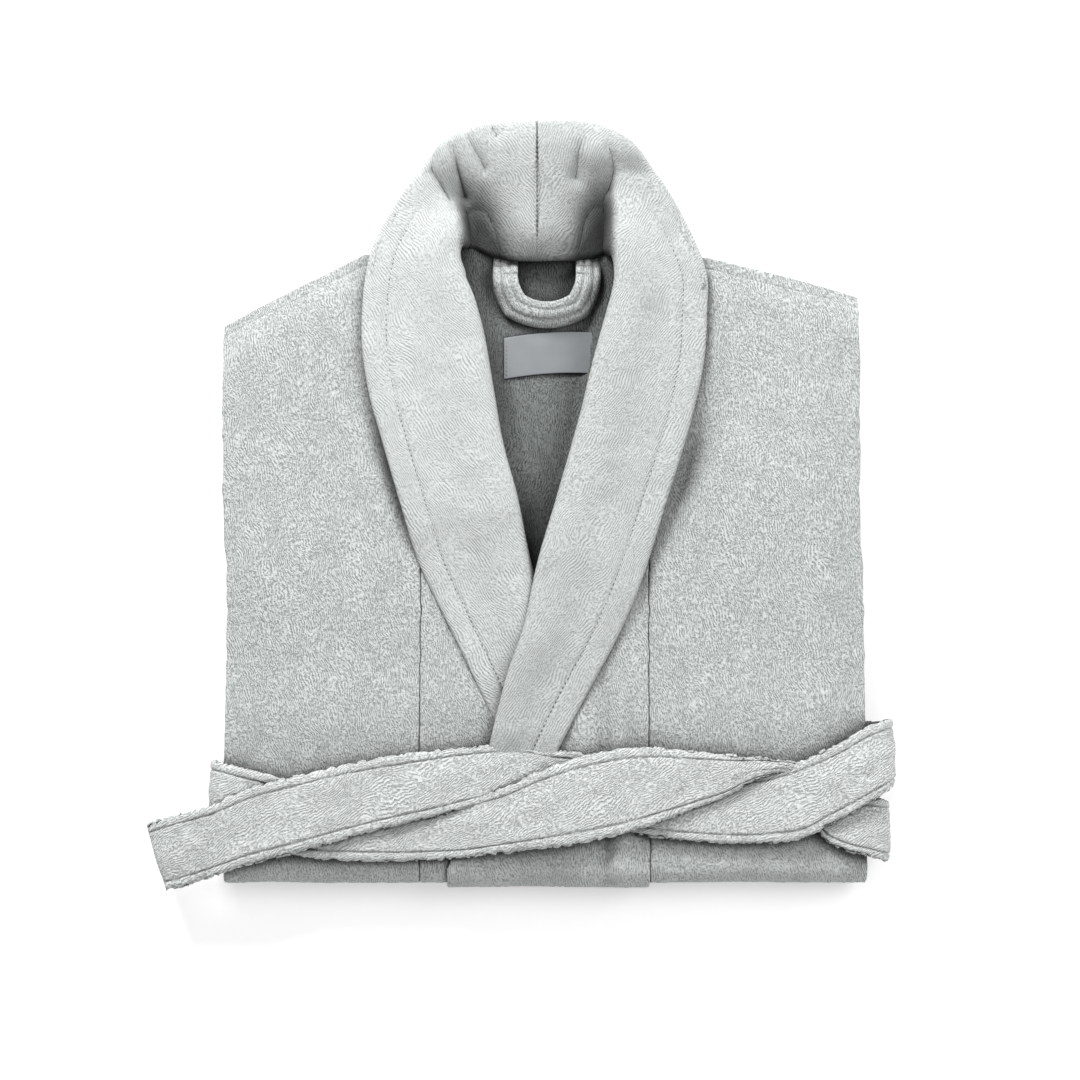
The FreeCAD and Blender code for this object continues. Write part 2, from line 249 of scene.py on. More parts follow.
def cloth_material(name, colour, shade, rows=130.0, waver=6.0, turn=0.0, fuzz=0.45,
                   bump=0.5, depth=0.0009, sheen=0.12):
    """Cotton pile: short wavy rows broken up by fuzz, darker in its pits, with painted shade in
    deep folds and narrow places and at each point's painted shade value.
    """
    mat, shader = new_material(name, 0.92, 0.12, sheen)
    shader.inputs["Sheen Roughness"].default_value = 0.45
    link = mat.node_tree.links.new

    # wavy rows of pile, on coordinates that are bent and then turned
    place = add_node(mat, "TexCoord")
    sway = add_node(mat, "TexNoise", {"Scale": 24.0, "Detail": 1.0})
    link(place.outputs["Object"], sway.inputs["Vector"])
    bent = add_node(mat, "VectorMath", {1: (0.022, 0.022, 0.022)})
    bent.operation = "MULTIPLY_ADD"
    link(sway.outputs["Color"], bent.inputs[0])
    link(place.outputs["Object"], bent.inputs[2])
    turned = add_node(mat, "Mapping", {"Rotation": (0, 0, turn)})
    link(bent.outputs["Vector"], turned.inputs["Vector"])
    comb = add_node(mat, "TexWave", {"Scale": rows, "Distortion": waver, "Detail": 2.0,
                                     "Detail Scale": 1.1, "Detail Roughness": 0.6})
    link(turned.outputs["Vector"], comb.inputs["Vector"])

    # short tufts, mixed with the rows in changing shares
    longer = add_node(mat, "Mapping", {"Scale": (1.0, 0.55, 1.0)})
    link(turned.outputs["Vector"], longer.inputs["Vector"])
    fine = add_node(mat, "TexNoise", {"Scale": 760.0, "Detail": 3.0, "Roughness": 0.7})
    link(longer.outputs["Vector"], fine.inputs["Vector"])
    patches = add_node(mat, "TexNoise", {"Scale": 75.0})
    link(place.outputs["Object"], patches.inputs["Vector"])
    share = add_node(mat, "MapRange", {"From Min": 0.36, "From Max": 0.62,
                                       "To Min": fuzz - 0.12, "To Max": min(fuzz + 0.25, 1.0)})
    link(patches.outputs["Fac"], share.inputs["Value"])
    both = add_node(mat, "Mix")
    link(share.outputs[0], both.inputs["Factor"])
    link(comb.outputs["Fac"], both.inputs["A"])
    link(fine.outputs["Fac"], both.inputs["B"])
    pile = add_node(mat, "MapRange", {"From Min": 0.29, "From Max": 0.60})
    pile.interpolation_type = "SMOOTHSTEP"
    link(both.outputs["Result"], pile.inputs["Value"])

    # colour from pit to tip, a little uneven over the cloth
    tone = add_node(mat, "ValToRGB")
    pit, tip = tone.color_ramp.elements
    pit.position, pit.color = 0.0, (*shade, 1)
    tip.position, tip.color = 0.85, (*colour, 1)
    link(pile.outputs[0], tone.inputs["Fac"])
    wide = add_node(mat, "TexNoise", {"Scale": 38.0, "Detail": 4.0})
    link(place.outputs["Object"], wide.inputs["Vector"])
    blend = add_node(mat, "Mix")
    blend.data_type = "RGBA"
    blend.blend_type = "MULTIPLY"
    blend.inputs["Factor"].default_value = 0.10
    link(tone.outputs["Color"], blend.inputs["A"])
    link(wide.outputs["Fac"], blend.inputs["B"])

    # painted shade: darker in narrow places from ambient occlusion, and darker by each mesh
    # point's painted shade value
    hidden = add_node(mat, "AmbientOcclusion", {"Distance": 0.045})
    hidden.samples = 6
    deep = add_node(mat, "MapRange", {"From Min": 0.25, "From Max": 0.92, "To Min": 0.12})
    deep.interpolation_type = "SMOOTHSTEP"
    link(hidden.outputs["AO"], deep.inputs["Value"])
    painted_shade = add_node(mat, "Attribute")
    painted_shade.attribute_name = "painted_shade"
    kept = add_node(mat, "Math", {1: -1.0, 2: 1.0})
    kept.operation = "MULTIPLY_ADD"
    link(painted_shade.outputs["Fac"], kept.inputs[0])
    light = add_node(mat, "Math")
    light.operation = "MULTIPLY"
    link(deep.outputs[0], light.inputs[0])
    link(kept.outputs[0], light.inputs[1])
    shaded = add_node(mat, "VectorMath")
    shaded.operation = "SCALE"
    link(blend.outputs["Result"], shaded.inputs[0])
    link(light.outputs[0], shaded.inputs["Scale"])
    link(shaded.outputs[0], shader.inputs["Base Color"])

    relief = add_node(mat, "Bump", {"Strength": bump, "Distance": depth})
    link(pile.outputs[0], relief.inputs["Height"])
    link(relief.outputs["Normal"], shader.inputs["Normal"])
    return mat


PALE, PALE_SHADE = (0.755, 0.79, 0.777), (0.36, 0.383, 0.374)
terry = cloth_material("towelling", PALE, PALE_SHADE, rows=175, waver=7, fuzz=0.88,
                       turn=math.radians(-15), bump=0.9)
# a darker copy of the towelling, whose colour is painted shade for the back inside the neck
# opening
terry_shaded = cloth_material("towelling_shaded", (0.28, 0.30, 0.293), (0.11, 0.12, 0.116),
                              rows=180, waver=9, fuzz=0.75, bump=0.8)
# two copies of the velour with the grain turned each way; the left lapel's copy is darker, a
# painted shade for the lapel that slopes away from the light
shaded_velour_left = cloth_material("shaded_velour_left", (0.71, 0.74, 0.728), (0.48, 0.505, 0.495),
                             rows=160, waver=4, fuzz=0.76, turn=math.radians(32), bump=0.7)
velour_right = cloth_material("velour_right", (0.765, 0.795, 0.783), (0.52, 0.547, 0.536),
                              rows=160, waver=4, fuzz=0.76, turn=math.radians(-35), bump=0.7)
belt_cloth = cloth_material("belt_towelling", (0.91, 0.945, 0.932), (0.55, 0.578, 0.566),
                            rows=160, waver=7, fuzz=0.82, turn=math.radians(60), bump=1.0)
thread = cloth_material("thread", (0.62, 0.65, 0.64), (0.5, 0.52, 0.51), bump=0.2, depth=0.0002)
# dark thread whose colour is painted shadow: it stands for the shaded holes and dimples of the
# stitches
shadow_thread = cloth_material("shadow_thread", (0.20, 0.215, 0.21), (0.13, 0.14, 0.137), bump=0.2,
                             depth=0.0002, sheen=0.0)


def satin_material():
    """Woven ribbon: fine cross ribs and a soft gloss."""
    mat, shader = new_material("label_satin", 0.42, 0.35, 0.15)
    link = mat.node_tree.links.new
    place = add_node(mat, "TexCoord")
    ribs = add_node(mat, "TexWave", {"Scale": 420.0, "Distortion": 0.6})
    ribs.bands_direction = "Y"
    link(place.outputs["Object"], ribs.inputs["Vector"])
    cloud = add_node(mat, "TexNoise", {"Scale": 60.0})
    link(place.outputs["Object"], cloud.inputs["Vector"])
    tone = add_node(mat, "ValToRGB")
    tone.color_ramp.elements[0].color = (0.24, 0.255, 0.268, 1)
    tone.color_ramp.elements[1].color = (0.31, 0.325, 0.34, 1)
    link(cloud.outputs["Fac"], tone.inputs["Fac"])
    link(tone.outputs["Color"], shader.inputs["Base Color"])
    relief = add_node(mat, "Bump", {"Strength": 0.25, "Distance": 0.0002})
    link(ribs.outputs["Fac"], relief.inputs["Height"])
    link(relief.outputs["Normal"], shader.inputs["Normal"])
    return mat


satin = satin_material()


# ------------------------------------------------------------------- camera, floor, lights
def make_stage():
    """Pale floor, soft lights and a camera that looks down on the robe."""
    scene = bpy.context.scene
    bpy.ops.mesh.primitive_plane_add(size=40, location=(0, 0, 0))
    floor = bpy.context.object
    floor.name = "floor"
    mat, shader = new_material("floor", 1.0, 0.0, 0.0)
    shader.inputs["Base Color"].default_value = (0.96, 0.96, 0.96, 1)
    shader.inputs["Emission Color"].default_value = (1, 1, 1, 1)
    shader.inputs["Emission Strength"].default_value = 0.42
    floor.data.materials.append(mat)

    world = bpy.data.worlds.new("studio")
    world.use_nodes = True
    sky = world.node_tree.nodes["Background"]
    sky.inputs["Color"].default_value = (1, 1, 1, 1)
    sky.inputs["Strength"].default_value = 0.34
    scene.world = world
    for name, place, size, power in (("key", (-0.7, 1.7, 1.3), 0.7, 46),
                                     ("fill", (1.5, 0.5, 1.8), 1.3, 24)):
        data = bpy.data.lights.new(name, "AREA")
        data.size, data.energy = size, power
        lamp = bpy.data.objects.new(name, data)
        lamp.location = place
        toward = -np.array(place)
        lamp.rotation_euler = (math.atan2(math.hypot(toward[0], toward[1]), -toward[2]), 0,
                               math.atan2(toward[1], toward[0]) - math.pi / 2)
        scene.collection.objects.link(lamp)

    elevation, distance = math.radians(83), 2.04
    target = np.array([0.0024, 0.0376, 0.050])
    data = bpy.data.cameras.new("camera")
    data.lens = 85
    camera = bpy.data.objects.new("camera", data)
    camera.location = target + distance * np.array([0, -math.cos(elevation), math.sin(elevation)])
    camera.rotation_euler = (math.pi / 2 - elevation, 0, 0)
    scene.collection.objects.link(camera)
    scene.camera = camera
    scene.view_settings.view_transform = "Standard"


make_stage()


# ----------------------------------------------------------------------- the folded panels
def shoulder_line(x):
    """Y of the pack's upper edge at a distance across it."""
    across = [SIDE_RIGHT, -205, -140, 140, 216, SIDE_LEFT]
    neck = 34 * step(-np.abs(x), -112, -85)
    return np.interp(x, across, [218, 241, 276, 273, 254, 242]) + neck


def wander(x, y):
    """Sideways drift of the cloths' edges and seams, the same for all the layers."""
    spread = -7.0 * step(y, -40, 210) * step(-x, 90, 250)
    return spread + 0.7 * noise(0 * y, y, 9, 77) + 1.6 * noise(0 * y, y, 70, 78)


def lie(x, y):
    """How far the upper layers sink or swell, the same for all of them."""
    side = step(np.maximum(SIDE_RIGHT + 34 - x, x - SIDE_LEFT + 34), 0, 40)
    edge = step(y, shoulder_line(x) - 34, shoulder_line(x) + 8)
    swell = 1.3 * noise(x, y, 95, 3) + 0.7 * noise(x, y, 38, 4) + 0.22 * noise(x, y, 14, 5)
    nip = -3.2 * np.exp(-((y + 170 - 0.03 * x) / 30) ** 2) + 1.8 * np.exp(-((y + 100) / 24) ** 2)
    ridge = 2.6 * np.exp(-((x - 66) / 7) ** 2) - 3.2 * np.exp(-((x - 53) / 6) ** 2)
    ridge = step(-y, 62, 92) * ridge
    corner = line_dent(x, y, (113, -208), (113, -222), 3.5, 1.6)
    corner += line_dent(x, y, (113, -222), (135, -234), 3.5, 1.6)
    beside = trough(x, y, (119, 92), 69, 55, 14, 9.0) + trough(x, y, (-114, 88), 107, 55, 9, 5.0)
    return -6.5 * side - 8.0 * edge * np.abs(x) / 250 + swell + nip + ridge + corner + beside


def fold_rows(layer):
    """Middle line (y, z) of one cloth from the bottom fold to its hem."""
    drop = layer * PITCH + CLOTH / 2
    turn = np.linspace(math.pi / 2, 3 * math.pi / 2, 17)
    radius = FOLD_RADIUS - drop
    rows = [(FOLD_Y + radius * math.cos(a), FOLD_Z + radius * math.sin(a)) for a in turn]
    wall = LIFT_Y + layer * PITCH
    for y in np.linspace(FOLD_Y + 8, UPPER_FOLD_Y - 4, 56):
        rows.append((y, drop + BELT_ROOM * float(1 - step(y, wall - 12, wall + 12))))
    middle = (LAST_LAYER * PITCH + CLOTH) / 2
    radius = middle - drop
    turn = np.linspace(-math.pi / 2, math.pi / 2, 13)
    rows += [(UPPER_FOLD_Y + radius * math.cos(a), middle + radius * math.sin(a)) for a in turn]
    hem = (LAST_LAYER - layer) * PITCH + CLOTH / 2
    rows += [(y, hem) for y in np.linspace(UPPER_FOLD_Y - 6, HEM_Y, 28)]
    return np.array(rows)


def folded_cloth(layer, x0, x1, top_y, lift=None, edge=None, seed=1):
    """One cloth of the pack: upper run, both folds and hem, between two lines across X."""
    rim = CLOTH / 2
    xs = x0 + spaced(x1 - x0, FINE, rim)
    ends = top_y(xs)
    share = spaced(float(np.max(ends)) - FOLD_Y, FINE, rim)
    share = share[:-4] / share[-5]
    upper_y = ends[None, :] + (FOLD_Y - ends)[None, :] * share[:, None]
    across = np.broadcast_to(xs, upper_y.shape)
    if edge is not None:
        across = x1 - (x1 - across) * (x1 - edge(upper_y)) / (x1 - x0)
    across = across + wander(across, upper_y)
    height = back_high[2] - CLOTH / 2 + (BACK - layer) * PITCH
    upper_z = height + lie(across, upper_y)
    if lift is not None:
        upper_z = upper_z + lift(across, upper_y)
    rows = fold_rows(layer)[1:]
    turning = 16                                # rows of the bottom fold
    fade = np.concatenate([np.linspace(1, 0, turning), np.zeros(len(rows) - turning)])
    low_y = np.repeat(rows[:, :1], len(xs), axis=1)
    low_x = xs + fade[:, None] * wander(xs, np.full_like(xs, FOLD_Y))
    carry = upper_z[-1] - height
    low_z = rows[:, 1:] + fade[:, None] * carry[None, :]
    crumple = 0.8 * noise(low_x, low_y * 0.4 + low_z, 30, 17) * (1 - fade[:, None])
    y = np.vstack([upper_y, low_y + 1.5 * fade[:, None] * noise(low_x, low_z, 42, 8)])
    z = np.vstack([upper_z, low_z + 0.35 * crumple])
    mid = np.stack([np.vstack([across, low_x]), y, z], axis=-1)
    run = np.linalg.norm(np.diff(mid, axis=0), axis=2).mean(axis=1)
    run = np.concatenate([[0], np.cumsum(run)])
    down = np.minimum(run, run[-1] - run)
    side = np.minimum(xs - xs[0], xs[-1] - xs)
    half = rim * rounded(down, rim)[:, None] * rounded(side, rim)[None, :]
    return shell_arrays(mid, half, pile=0.16, seed=seed)


def declare_cloth(top, layer):
    """Work out the cut length of a folded panel; the result is not kept."""
    length = (top - FOLD_Y) + sum(np.linalg.norm(np.diff(fold_rows(layer), axis=0), axis=1))


def shoulder_seam(x):
    """Y of the seam where the fronts end, a little below the pack's upper edge."""
    return shoulder_line(x) - 11.0


def panel_shade(x, y):
    """Painted soft shade beside the two lapels."""
    return -trough(x, y, (121, 92), 69, 60, 12, 0.30) - trough(x, y, (-112, 88), 107, 60, 8, 0.22)


def make_panels():
    """The back, the two fronts and the two bands."""
    def right_end(x):
        """Upper end of the right band, lower towards the neck opening."""
        return BAND_TOP - 34 * step(x, -70, -30)

    def left_end(x):
        """Upper end of the left band, lower towards the neck opening."""
        return BAND_TOP - 34 * step(-x, -66, -30)

    def hollow(x, y):
        """The back sinks between the sleeves, inside the neck opening."""
        width = 20 + 30 * step(y, 20, 240)
        ends = step(y, -10, 60) * step(-y, -300, -262)
        return -9.5 * step(width - np.abs(x - 2), -14, 12) * ends

    def merge(x, y):
        """The left band comes down to the panel beside it at its seam."""
        return -PITCH * step(x, SEAM_LEFT - 20, SEAM_LEFT - 2)

    def free_edge(y):
        """The left band's free edge, which goes on from the lapel's roll line."""
        return np.interp(y, [-225, -124, -71, -33, 10, 40], [-72, -37, -24, -11, -2, 6])

    shell = folded_cloth(BACK, SIDE_RIGHT, SIDE_LEFT, shoulder_line, lift=hollow, seed=11)
    back = make_piece("back_cloth", [shell], terry_shaded)
    back.data.materials.append(terry)
    # faces inside the neck opening get the darker towelling: painted shade for the recess under
    # the collar
    for face in back.data.polygons:
        x, y, z = np.array(face.center) / MM
        in_neck_opening = abs(x) < 100 and -60 < y < 315 and z > 18
        face.material_index = 0 if in_neck_opening else 1
    register(back, "robe", "towelling", "back_panel")
    declare_cloth(BACK_TOP, BACK)
    fronts = (("right_front_cloth", "right_front_panel", SIDE_RIGHT, SEAM_RIGHT, 21),
              ("left_front_cloth", "left_front_panel", SEAM_LEFT, SIDE_LEFT, 31))
    for name, node, x0, x1, seed in fronts:
        shell = folded_cloth(FRONTS, x0, x1, shoulder_seam, seed=seed)
        panel = make_piece(name, [shell], terry)
        # painted shade beside the lapels, put into the front panel's colour
        paint_shade_by(panel, panel_shade)
        register(panel, "robe", "towelling", node)
        declare_cloth(FRONT_TOP, FRONTS)
    shell = folded_cloth(FRONTS, SEAM_RIGHT, RIGHT_BAND_EDGE, right_end, seed=41)
    right = make_piece("right_band_cloth", [shell], terry)
    register(right, "robe", "towelling", "right_front_band")
    declare_cloth(BAND_TOP, FRONTS)
    shell = folded_cloth(LEFT_BAND, LEFT_BAND_EDGE, SEAM_LEFT, left_end, lift=merge,
                         edge=free_edge, seed=51)
    left = make_piece("left_band_cloth", [shell], terry)
    register(left, "robe", "towelling", "left_front_band")
    declare_cloth(BAND_TOP, LEFT_BAND)


make_panels()


# ----------------------------------------------------------------------------- the collar
# Stations from the centre-back seam round the neck and down the lapel: the inner edge (neck
# seam, then roll line) and the outer edge (roll behind the neck, then lapel edge).
RIGHT_STATIONS = [((1.2, 268), (1.2, 381)), ((-18, 269), (-38, 379)), ((-36, 273), (-72, 366)),
                  ((-52, 279), (-98, 339)), ((-61, 278), (-118, 310)), ((-62, 267), (-133, 281)),
                  ((-58, 252), (-139, 256)), ((-50, 232), (-142, 226)), ((-43, 206), (-142, 200)),
                  ((-35, 161), (-136, 158)), ((-28, 120), (-126, 122)), ((-15, 70), (-110, 68)),
                  ((-5, 22), (-95, 20)), ((8, -25), (-76, -20)), ((14, -70), (-55, -63)),
                  ((12, -115), (-33, -108))]
LEFT_STATIONS = [((-1.2, 268), (-1.2, 381)), ((22, 269), (42, 379)), ((44, 271), (78, 362)),
                 ((57, 274), (105, 328)), ((63, 264), (128, 285)), ((62, 246), (138, 255)),
                 ((56, 222), (138, 225)), ((46, 186), (136, 190)), ((34, 137), (127, 145)),
                 ((15, 70), (105, 72)), ((-2, 10), (80, -5)), ((-11, -33), (62, -45)),
                 ((-24, -71), (42, -82)), ((-36, -118), (22, -120)), ((-44, -152), (8, -150))]
COLLAR_Z = corners("left_upper_collar")[0][2] + 3.4
NECK_SEAM_Z = back_high[2] + 5.0
COLLAR_STEPS, UNDER_STEPS = 400, 150            # grid steps along a collar half
FALL_STEPS, FALL_PITCH = 42, 2.8                # the part of them behind the neck
TOPSTITCH_IN = 20.5                             # from the collar's outer edge
TOPSTITCH_START = 60                            # first step that has topstitch
UPPER_GRID, UNDER_GRID, FALL_GRID = 90, 70, 62  # widths that the grids are spaced over
UNDER_BELT_Z = {"left": 44.6, "right": 41.0}    # the lapels' points, pressed by the belt


def collar_edges(stations, count):
    """Inner and outer edge of a collar half at evenly spaced stations."""
    middle = [((a[0] + b[0]) / 2, (a[1] + b[1]) / 2) for a, b in stations]
    knots = np.concatenate([[0], np.cumsum(np.linalg.norm(np.diff(middle, axis=0), axis=1))])
    at = np.linspace(0, 1, count)
    inner = smooth_through([a for a, _ in stations], knots / knots[-1], at)
    outer = smooth_through([b for _, b in stations], knots / knots[-1], at)
    return inner, outer, knots[-1]


def smooth_through(points, knots, at):
    """A smooth curve that meets each point at its own knot."""
    pts = np.array(points, float)
    slope = np.gradient(pts, knots, axis=0)
    k = np.clip(np.searchsorted(knots, at) - 1, 0, len(knots) - 2)
    span = (knots[k + 1] - knots[k])[:, None]
    t = ((at - knots[k]) / (knots[k + 1] - knots[k]))[:, None]
    return ((2 * t ** 3 - 3 * t ** 2 + 1) * pts[k] + (t ** 3 - 2 * t ** 2 + t) * span * slope[k]
            + (-2 * t ** 3 + 3 * t ** 2) * pts[k + 1] + (t ** 3 - t ** 2) * span * slope[k + 1])


# Creases behind the neck: ends, width and depth.
CREASES = {
    "right": [((-86, 352), (-67, 306), 4.2, 4.5), ((-69, 356), (-60, 322), 5, 10),
              ((-58, 368), (-42, 342), 4.5, 5), ((-39, 376), (-33, 367), 4, 4)],
    "left": [((38, 366), (31, 336), 7, 7), ((58, 352), (60, 326), 5, 6)],
}
# Hollows between the neck and the two rolls, and soft mounds: place, two radii and height.
MOUNDS = [((-50, 291), (20, 34), -22.0), ((51, 294), (18, 36), -22.0), ((0, 290), (22, 24), 9.0),
          ((45, 352), (9, 9), 4.0), ((-78, 342), (6, 12), 3.0)]


def roll_edge(side, y):
    """X of the line where a lapel's roll falls away to the neck."""
    if side == "right":
        return np.interp(y, [250, 280, 304, 322, 350], [-58, -62, -65, -72, -84])
    return np.interp(y, [250, 280, 304, 345], [62, 63, 64, 62])


def collar_height(side, x, y, v):
    """Middle surface of the upper collar, with v from its inner to its outer edge."""
    flatten = step(-y, 30, 126)
    roll = (4.8 + 4.0 * step(y, 110, 260)) * (1 - 0.7 * flatten)
    lapel = COLLAR_Z + roll * np.exp(-((v - 0.20) / 0.26) ** 2) - (7.0 - 3.5 * flatten) * v ** 1.6
    stand = NECK_SEAM_Z - 7 + (COLLAR_Z + 13 - NECK_SEAM_Z) * step(v, -0.12, 0.72)
    inward = (x - roll_edge(side, y)) * (1 if side == "right" else -1)
    at_neck = np.maximum(step(inward, -2, 7) * step(y, 250, 262), step(y, 336, 362))
    z = lapel * (1 - at_neck) + stand * at_neck
    crossing = step(-y, -70, -20)
    z = z + crossing * (-5.0 if side == "right" else 2.5 * (1 - v) * (1 - flatten))
    under_belt = step(-y, 112, 142)
    z = z * (1 - under_belt) + UNDER_BELT_Z[side] * under_belt
    for start, end, width, depth in CREASES[side]:
        z = z + line_dent(x, y, start, end, width, depth)
    for (mx, my), (across, along), rise in MOUNDS:
        share = at_neck if rise < 0 else 1.0
        z = z + share * rise * np.exp(-((x - mx) / across) ** 2 - ((y - my) / along) ** 2)
    lowest = back_high[2] - 4 + 0.10 * (y - 270)
    z = np.where(at_neck > 0.5, np.maximum(z, lowest + 1.5 * np.tanh((z - lowest) / 6)), z)
    swell = 1.2 * noise(x, y, 60, 61) + 0.7 * noise(x, y, 24, 62) + 0.25 * noise(x, y, 10, 63)
    return z + swell


def pressed(y):
    """How thin the lapels get towards their points under the belt."""
    return 1 - 0.45 * step(-y, 40, 130)


def hollow_shade(side, x, y):
    """Painted shade: how much darker the cloth is painted in the two hollows and under the neck's
    swelling.
    """
    inward = (x - roll_edge(side, y)) * (1 if side == "right" else -1)
    shade = -trough(x, y, (-45, 292), 112, 38, 18, 0.78)
    shade = shade - trough(x, y, (49, 293), 74, 40, 18, 0.78)
    shade = (shade + 0.34 * step(-y, -296, -266)) * step(-y, -352, -330)
    shade = shade + 0.14 * step(-y, -372, -352)
    return shade * step(inward, -2, 4) * step(y, 250, 262)


def upper_collar(side, stations):
    """The visible collar and lapel: two layers, full at the roll, grooved by its topstitch."""
    rim_in, rim_out = 6.2, 4.0
    inner, outer, length = collar_edges(stations, COLLAR_STEPS)
    width = np.linalg.norm(outer - inner, axis=1)
    v = spaced(UPPER_GRID, 1.6, 4.5) / UPPER_GRID
    x = inner[:, None, 0] + (outer - inner)[:, None, 0] * v[None, :]
    y = inner[:, None, 1] + (outer - inner)[:, None, 1] * v[None, :]
    far = (1 - v)[None, :] * width[:, None]
    near = v[None, :] * width[:, None]
    mid = np.stack([x, y, collar_height(side, x, y, v[None, :])], axis=-1)
    neck = step(y, 300, 335) * step(v, 0.5, 0.9)[None, :]
    full = rim_in + (rim_out - rim_in) * step(v, 0.05, 0.55)[None, :] + 3.0 * neck
    run = np.linspace(0, length, COLLAR_STEPS)
    along = np.minimum(run, length - run)
    half = full * rounded(near, rim_in) * rounded(far, rim_out) * rounded(along, 1.2)[:, None]
    stitched = np.exp(-((far - TOPSTITCH_IN) / 1.5) ** 2) * (1 - step(y, 285, 315))
    quilt = 0.5 * np.exp(-((far - 10) / 6) ** 2)
    half = half * pressed(y)
    half = half * (1 - 0.30 * stitched) + 0.6 * quilt * (half > 2)
    shell = shell_arrays(mid, half, pile=0.13, seed=71 if side == "left" else 72)
    return shell, inner, outer, width


def under_collar(side, stations):
    """The layer below the lapel, and the collar's fall that hangs behind the neck."""
    inner, outer, length = collar_edges(stations, UNDER_STEPS)
    v = spaced(UNDER_GRID, 3.5, 2.0) / UNDER_GRID
    share = 0.10 + 0.74 * v
    x = inner[:, None, 0] + (outer - inner)[:, None, 0] * share[None, :]
    y = inner[:, None, 1] + (outer - inner)[:, None, 1] * share[None, :]
    low = step(-y, -70, -20) * (4.0 if side == "right" else 0.0)
    z = COLLAR_Z - 7.0 - 5.0 * share[None, :] ** 1.5 - low + 0.4 * noise(x, y, 24, 62)
    z = np.minimum(z, collar_height(side, x, y, share[None, :]) - 6.0)
    edge = np.minimum(v, 1 - v) * UNDER_GRID
    steps = np.arange(UNDER_STEPS)
    ends = np.minimum(steps, steps[::-1]) * length / steps[-1]
    half = 1.6 * rounded(edge, 1.6)[None, :] * rounded(ends, 1.6)[:, None]
    plate = shell_arrays(np.stack([x, y, z], -1), half, pile=0.1, seed=81)

    neck = outer[:FALL_STEPS]
    centre = np.array([0, 250.0])
    away = neck - centre
    away /= np.linalg.norm(away, axis=1, keepdims=True)
    w = spaced(FALL_GRID, 2.6, 3.0) / FALL_GRID
    inset = 6.0 - 2.5 * np.sin(w * math.pi) + 16 * w ** 2
    hang = COLLAR_Z - 1 - (COLLAR_Z - 9) * w
    steps = np.arange(FALL_STEPS)
    sway = 1.6 * noise(steps[:, None] * FALL_PITCH, w[None, :] * 30, 21, 91)
    x = neck[:, None, 0] - away[:, None, 0] * (inset[None, :] + sway)
    y = neck[:, None, 1] - away[:, None, 1] * (inset[None, :] + sway)
    floor_gap = step(250 - y, -12, 6) * 34 * w[None, :]
    z = np.broadcast_to(hang[None, :], x.shape) + floor_gap
    edge = np.minimum(w, 1 - w) * FALL_GRID
    ends = np.minimum(steps, steps[::-1]) * FALL_PITCH
    half = 2.9 * rounded(edge, 3.0)[None, :] * rounded(ends, 3.0)[:, None]
    fall = shell_arrays(np.stack([x, y, z], -1), half, pile=0.12, seed=82)
    return [plate, fall]


def stitch_run(points, pitch, stitch, radius):
    """A row of short thread stitches lying along a line of points."""
    points = np.array(points)
    run = np.concatenate([[0], np.cumsum(np.linalg.norm(np.diff(points, axis=0), axis=1))])
    shells = []
    for start in np.arange(1.0, run[-1] - stitch, pitch):
        at = np.linspace(start, start + stitch, 5)
        path = np.stack([np.interp(at, run, points[:, k]) for k in range(3)], axis=1)
        path[:, 2] += radius * 1.2 * np.sin(np.linspace(0, math.pi, 5)) - radius * 0.3
        shells.append(tube_arrays(path, radius))
    return shells


def make_collar():
    """Both collar halves: upper and under collar, and the topstitch."""
    for side, stations, cloth in (("right", RIGHT_STATIONS, velour_right),
                                  ("left", LEFT_STATIONS, shaded_velour_left)):
        shell, inner, outer, width = upper_collar(side, stations)
        upper = make_piece(f"{side}_upper_collar_cloth", [shell], cloth)
        # painted shade in the two hollows beside the neck and under its swelling
        paint_shade_by(upper, lambda x, y, side=side: hollow_shade(side, x, y))
        register(upper, "robe", "velour_collar", f"{side}_upper_collar")
        lower = make_piece(f"{side}_under_collar_cloth", under_collar(side, stations), terry)
        register(lower, "robe", "towelling", f"{side}_under_collar")
        share = 1 - TOPSTITCH_IN / width
        line = inner + (outer - inner) * share[:, None]
        top = collar_height(side, line[:, 0], line[:, 1], share) + 2.55 * pressed(line[:, 1])
        row = np.column_stack([line, top])[TOPSTITCH_START:]
        stitches = stitch_run(row, 4.2, 2.8, 0.42)
        # the topstitch uses the dark thread, painted shadow of the stitch holes
        seam = make_piece(f"{side}_collar_topstitch", stitches, shadow_thread)
        register(seam, "robe", "velour_collar")


def make_back_seam():
    """Stitches down the seam where the two collar halves meet behind the neck."""
    y = np.linspace(274, 374, 60)
    x = np.zeros_like(y)
    share = (y - 270) / 105
    z = collar_height("left", x, y, share) + 5.9 + 0.7 * share
    row = np.column_stack([x, y, z])
    # the seam's stitches use the dark thread, painted shadow of the stitch holes
    seam = make_piece("centre_back_stitches", stitch_run(row, 4.0, 2.5, 0.6), shadow_thread)
    register(seam, "robe", "velour_collar")


make_collar()
make_back_seam()


